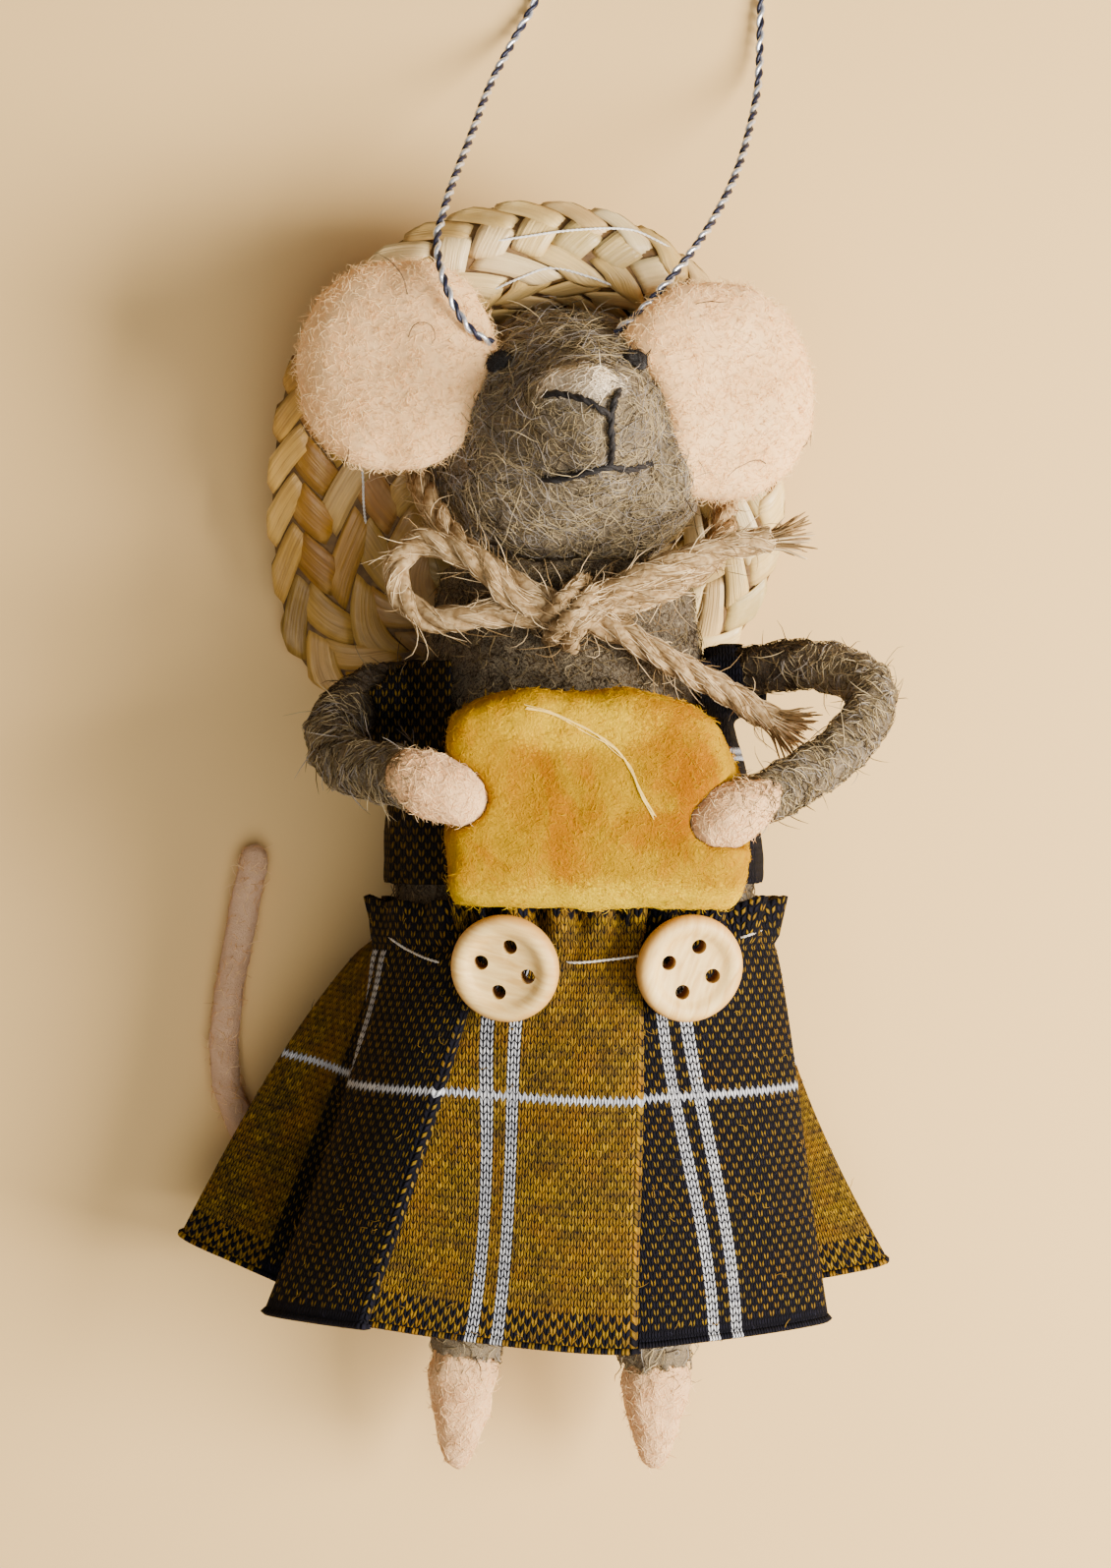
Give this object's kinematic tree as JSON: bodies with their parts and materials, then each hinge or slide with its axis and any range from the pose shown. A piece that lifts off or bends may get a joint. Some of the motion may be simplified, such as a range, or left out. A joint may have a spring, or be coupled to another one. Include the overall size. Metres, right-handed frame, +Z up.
{
  "type": "felted mouse ornament",
  "caption": "Felted mouse on its back in a straw hat and a pleated knitted dress, holding a wedge of cheese, with a twine bow and a loop of silver cord to hang it by.",
  "frame": {"origin": "on the surface the figure lies on, under the middle of its box without the hanging cord", "axes": "+Z up from the surface, out of the figure's front; +Y towards its head; +X towards the side where the arm's elbow stands out"},
  "size_m": [0.085, 0.2032, 0.0537],
  "materials": {
    "grey_felt": "needle-felted grey-brown wool with loose fibres",
    "pink_felt": "needle-felted pink wool",
    "ear_felt": "dense pale pink wool felt",
    "cheese_felt": "yellow wool felt with orange patches",
    "dark_wool": "dark wool",
    "black_thread": "matte black sewing thread",
    "straw": "plaited straw, satin",
    "jute": "twisted jute twine, hairy",
    "bodice_knit": "fine knit of navy and yellow yarn",
    "skirt_knit": "fine checked knit of yellow, navy and white yarn",
    "button_wood": "turned pale wood, satin",
    "silver_cord": "twisted silver and navy yarn"
  },
  "bodies": {
    "root": {"head": "grey_felt", "torso": "grey_felt", "ear_left": "ear_felt", "ear_right": "ear_felt", "eye_left": "dark_wool", "eye_right": "dark_wool", "mouth_stitch": "black_thread", "straw_hat": "straw", "twine_bow": "jute", "hanging_cord": "silver_cord", "cheese": "cheese_felt", "bodice": "bodice_knit", "skirt": "skirt_knit", "hand_left": "pink_felt", "hand_right": "pink_felt", "arm_left": "grey_felt", "arm_right": "grey_felt", "leg_left": "grey_felt", "leg_right": "grey_felt", "foot_left": "pink_felt", "foot_right": "pink_felt", "tail": "pink_felt", "button_left": "button_wood", "button_right": "button_wood"}
  },
  "joints": []
}
